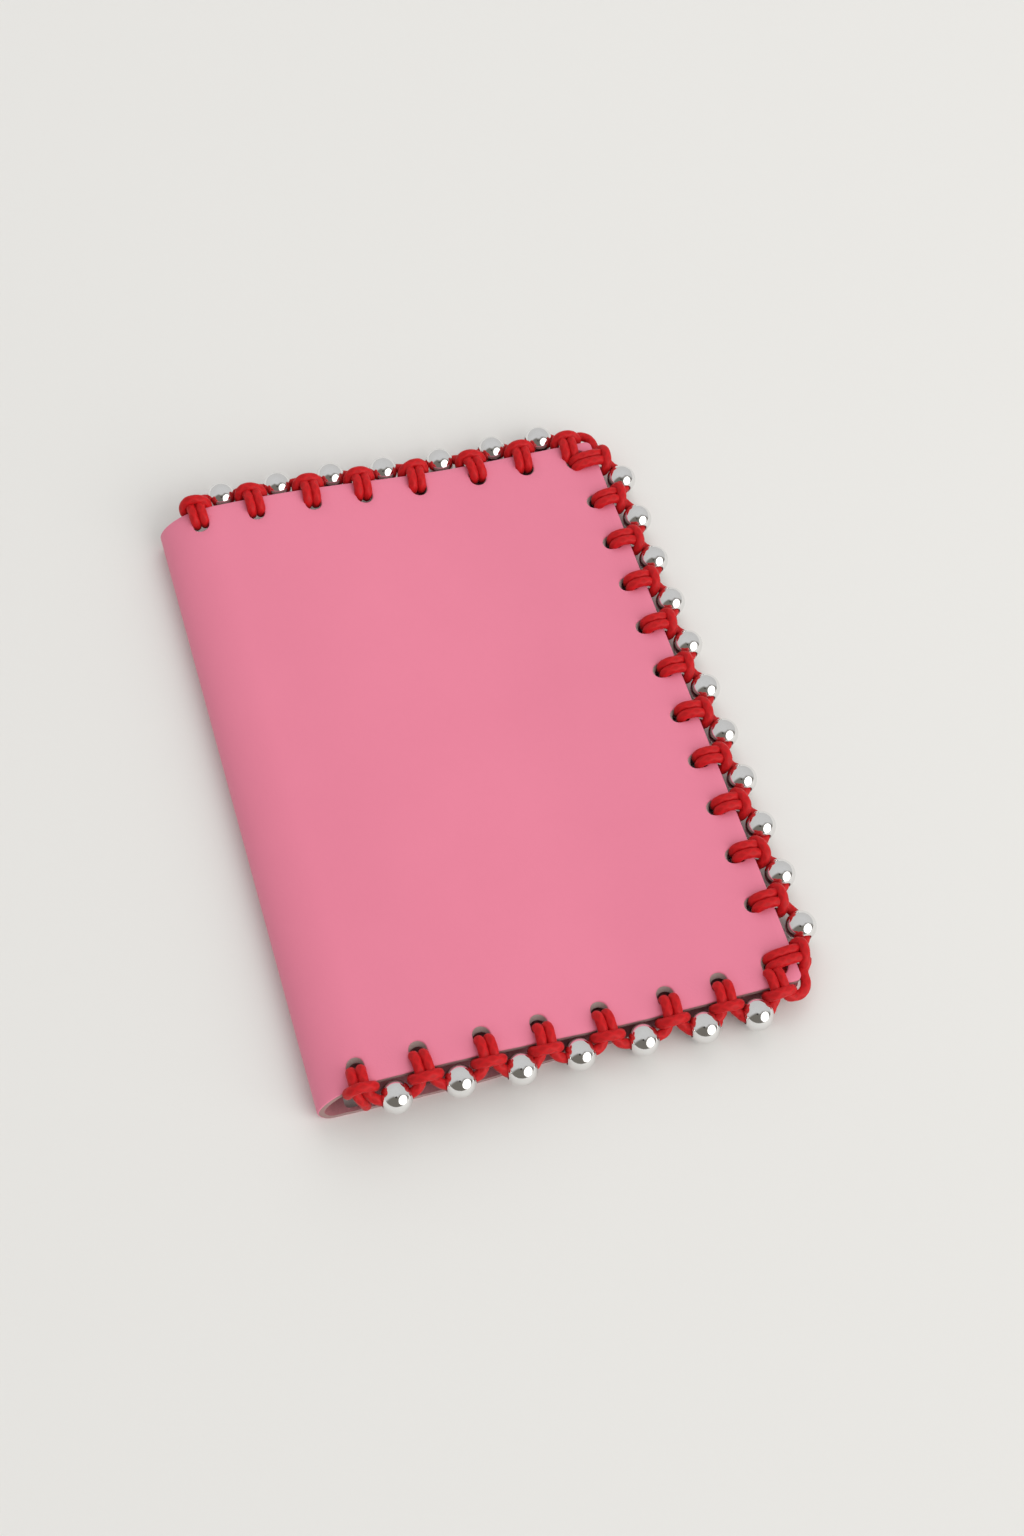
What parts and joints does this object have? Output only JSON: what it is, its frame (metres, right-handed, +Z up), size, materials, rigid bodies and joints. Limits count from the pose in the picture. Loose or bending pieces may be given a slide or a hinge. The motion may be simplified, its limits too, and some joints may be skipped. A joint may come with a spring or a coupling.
{
  "type": "passport holder",
  "caption": "Folding leather passport holder, its front cover edged with hitched cord lacing and round metal beads.",
  "frame": {"origin": "middle of the bounding box's bottom face, on the surface that the closed holder lies on", "axes": "+X from the fold to the open side, +Y along the fold towards the far edge, +Z up through the front cover"},
  "size_m": [0.1073, 0.1546, 0.0116],
  "materials": {
    "cover_leather": "smooth pink leather with a fine grain, matt sheen",
    "pocket_leather": "thin unlined leather, flesh side out",
    "lacing_cord": "round braided satin cord",
    "bead_metal": "mirror polished silver plate"
  },
  "bodies": {
    "back": {"back_cover": "cover_leather", "back_pocket": "pocket_leather"},
    "spine": {"spine": "cover_leather"},
    "front": {"front_cover": "cover_leather", "front_pocket": "pocket_leather", "lacing_cord": "lacing_cord"},
    "bead_near_01": {"bead_near_01": "bead_metal"},
    "bead_near_02": {"bead_near_02": "bead_metal"},
    "bead_near_03": {"bead_near_03": "bead_metal"},
    "bead_near_04": {"bead_near_04": "bead_metal"},
    "bead_near_05": {"bead_near_05": "bead_metal"},
    "bead_near_06": {"bead_near_06": "bead_metal"},
    "bead_near_07": {"bead_near_07": "bead_metal"},
    "bead_side_01": {"bead_side_01": "bead_metal"},
    "bead_side_02": {"bead_side_02": "bead_metal"},
    "bead_side_03": {"bead_side_03": "bead_metal"},
    "bead_side_04": {"bead_side_04": "bead_metal"},
    "bead_side_05": {"bead_side_05": "bead_metal"},
    "bead_side_06": {"bead_side_06": "bead_metal"},
    "bead_side_07": {"bead_side_07": "bead_metal"},
    "bead_side_08": {"bead_side_08": "bead_metal"},
    "bead_side_09": {"bead_side_09": "bead_metal"},
    "bead_side_10": {"bead_side_10": "bead_metal"},
    "bead_side_11": {"bead_side_11": "bead_metal"},
    "bead_far_01": {"bead_far_01": "bead_metal"},
    "bead_far_02": {"bead_far_02": "bead_metal"},
    "bead_far_03": {"bead_far_03": "bead_metal"},
    "bead_far_04": {"bead_far_04": "bead_metal"},
    "bead_far_05": {"bead_far_05": "bead_metal"},
    "bead_far_06": {"bead_far_06": "bead_metal"},
    "bead_far_07": {"bead_far_07": "bead_metal"}
  },
  "joints": [
    {"name": "back_fold", "type": "hinge", "parent": "back", "child": "spine", "pos_m": [-0.0527, 0, 0.001], "axis": [0, -1, 0], "range_deg": [0, 80]},
    {"name": "front_fold", "type": "hinge", "parent": "spine", "child": "front", "pos_m": [-0.05261, 0, 0.00569], "axis": [0, -1, 0], "range_deg": [0, 80]},
    {"name": "bead_near_01_spin", "type": "hinge", "parent": "front", "child": "bead_near_01", "pos_m": [-0.03865, -0.0735, 0.00666], "axis": [1, 0, 0], "continuous": true},
    {"name": "bead_near_02_spin", "type": "hinge", "parent": "front", "child": "bead_near_02", "pos_m": [-0.026, -0.0735, 0.00648], "axis": [1, 0, 0], "continuous": true},
    {"name": "bead_near_03_spin", "type": "hinge", "parent": "front", "child": "bead_near_03", "pos_m": [-0.01375, -0.07384, 0.00559], "axis": [1, 0, 0], "continuous": true},
    {"name": "bead_near_04_spin", "type": "hinge", "parent": "front", "child": "bead_near_04", "pos_m": [-0.0016, -0.0735, 0.00441], "axis": [1, 0, 0], "continuous": true},
    {"name": "bead_near_05_spin", "type": "hinge", "parent": "front", "child": "bead_near_05", "pos_m": [0.0116, -0.0735, 0.00348], "axis": [1, 0, 0], "continuous": true},
    {"name": "bead_near_06_spin", "type": "hinge", "parent": "front", "child": "bead_near_06", "pos_m": [0.02415, -0.07407, 0.00335], "axis": [1, 0, 0], "continuous": true},
    {"name": "bead_near_07_spin", "type": "hinge", "parent": "front", "child": "bead_near_07", "pos_m": [0.03535, -0.07418, 0.00335], "axis": [1, 0, 0], "continuous": true},
    {"name": "bead_side_01_spin", "type": "hinge", "parent": "front", "child": "bead_side_01", "pos_m": [0.0505, -0.05815, 0.00335], "axis": [0, 1, 0], "continuous": true},
    {"name": "bead_side_02_spin", "type": "hinge", "parent": "front", "child": "bead_side_02", "pos_m": [0.0505, -0.04587, 0.00335], "axis": [0, 1, 0], "continuous": true},
    {"name": "bead_side_03_spin", "type": "hinge", "parent": "front", "child": "bead_side_03", "pos_m": [0.0505, -0.0342, 0.00335], "axis": [0, 1, 0], "continuous": true},
    {"name": "bead_side_04_spin", "type": "hinge", "parent": "front", "child": "bead_side_04", "pos_m": [0.0505, -0.02253, 0.00335], "axis": [0, 1, 0], "continuous": true},
    {"name": "bead_side_05_spin", "type": "hinge", "parent": "front", "child": "bead_side_05", "pos_m": [0.0505, -0.01087, 0.00335], "axis": [0, 1, 0], "continuous": true},
    {"name": "bead_side_06_spin", "type": "hinge", "parent": "front", "child": "bead_side_06", "pos_m": [0.0505, 0.0008, 0.00335], "axis": [0, 1, 0], "continuous": true},
    {"name": "bead_side_07_spin", "type": "hinge", "parent": "front", "child": "bead_side_07", "pos_m": [0.0505, 0.01247, 0.00335], "axis": [0, 1, 0], "continuous": true},
    {"name": "bead_side_08_spin", "type": "hinge", "parent": "front", "child": "bead_side_08", "pos_m": [0.0505, 0.02413, 0.00335], "axis": [0, 1, 0], "continuous": true},
    {"name": "bead_side_09_spin", "type": "hinge", "parent": "front", "child": "bead_side_09", "pos_m": [0.0505, 0.0358, 0.00335], "axis": [0, 1, 0], "continuous": true},
    {"name": "bead_side_10_spin", "type": "hinge", "parent": "front", "child": "bead_side_10", "pos_m": [0.0505, 0.04747, 0.00335], "axis": [0, 1, 0], "continuous": true},
    {"name": "bead_side_11_spin", "type": "hinge", "parent": "front", "child": "bead_side_11", "pos_m": [0.0505, 0.05895, 0.00335], "axis": [0, 1, 0], "continuous": true},
    {"name": "bead_far_01_spin", "type": "hinge", "parent": "front", "child": "bead_far_01", "pos_m": [-0.03865, 0.0735, 0.00666], "axis": [1, 0, 0], "continuous": true},
    {"name": "bead_far_02_spin", "type": "hinge", "parent": "front", "child": "bead_far_02", "pos_m": [-0.026, 0.0735, 0.00648], "axis": [1, 0, 0], "continuous": true},
    {"name": "bead_far_03_spin", "type": "hinge", "parent": "front", "child": "bead_far_03", "pos_m": [-0.01375, 0.07384, 0.00559], "axis": [1, 0, 0], "continuous": true},
    {"name": "bead_far_04_spin", "type": "hinge", "parent": "front", "child": "bead_far_04", "pos_m": [-0.0016, 0.0735, 0.00441], "axis": [1, 0, 0], "continuous": true},
    {"name": "bead_far_05_spin", "type": "hinge", "parent": "front", "child": "bead_far_05", "pos_m": [0.0116, 0.0735, 0.00348], "axis": [1, 0, 0], "continuous": true},
    {"name": "bead_far_06_spin", "type": "hinge", "parent": "front", "child": "bead_far_06", "pos_m": [0.02415, 0.07407, 0.00335], "axis": [1, 0, 0], "continuous": true},
    {"name": "bead_far_07_spin", "type": "hinge", "parent": "front", "child": "bead_far_07", "pos_m": [0.03535, 0.07418, 0.00335], "axis": [1, 0, 0], "continuous": true}
  ],
  "couplings": [
    {"joint": "front_fold", "follows": "back_fold", "ratio": 1}
  ]
}
